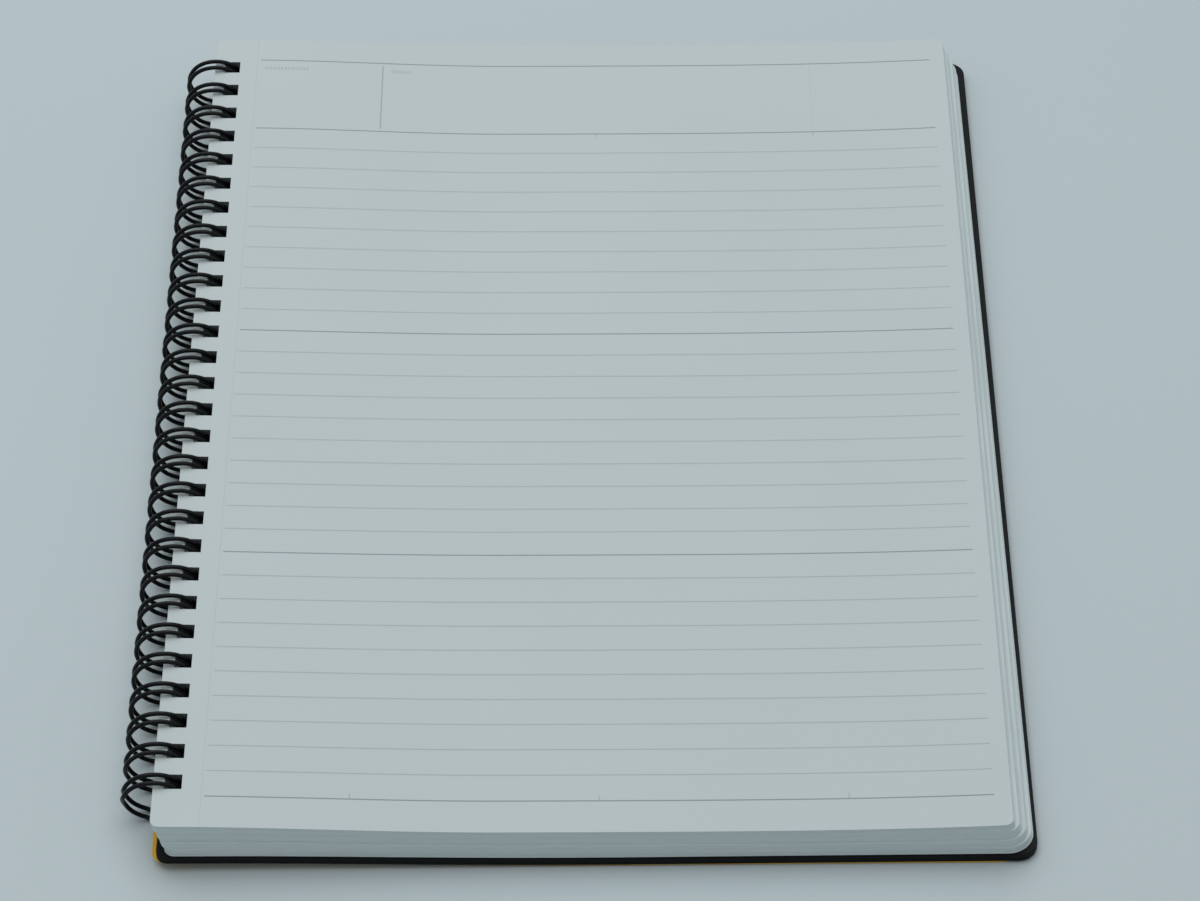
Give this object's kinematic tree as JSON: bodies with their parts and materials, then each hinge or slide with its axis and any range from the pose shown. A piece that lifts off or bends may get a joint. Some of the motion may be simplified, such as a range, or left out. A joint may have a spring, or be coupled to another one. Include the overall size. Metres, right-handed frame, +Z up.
{
  "type": "twin loop wire notebook",
  "caption": "Ruled notebook on a black twin loop wire binding, lying open with its pages up and its black covers and yellow flyleaf folded round underneath.",
  "frame": {"origin": "middle of the outline, on the table under the notebook", "axes": "+X across the open page from the binding to the fore edge, +Y up the page from foot to head, +Z up from the table"},
  "size_m": [0.1912, 0.254, 0.0143],
  "materials": {
    "page_paper": "matte",
    "wire": "gloss",
    "cover_board": "satin",
    "yellow_paper": "matte"
  },
  "bodies": {
    "front": {"front_cover": "cover_board", "flyleaf": "yellow_paper", "binding_wire": "wire"},
    "back": {"back_cover": "cover_board"},
    "pages": {"page_block": "page_paper"}
  },
  "joints": [
    {"name": "back_cover_turn", "type": "hinge", "parent": "front", "child": "back", "pos_m": [-0.0885, 0, 0.00715], "axis": [0, -1, 0], "range_deg": [0, 90]},
    {"name": "pages_turn", "type": "hinge", "parent": "back", "child": "pages", "pos_m": [-0.0885, 0, 0.00715], "axis": [0, -1, 0], "range_deg": [0, 80]}
  ]
}
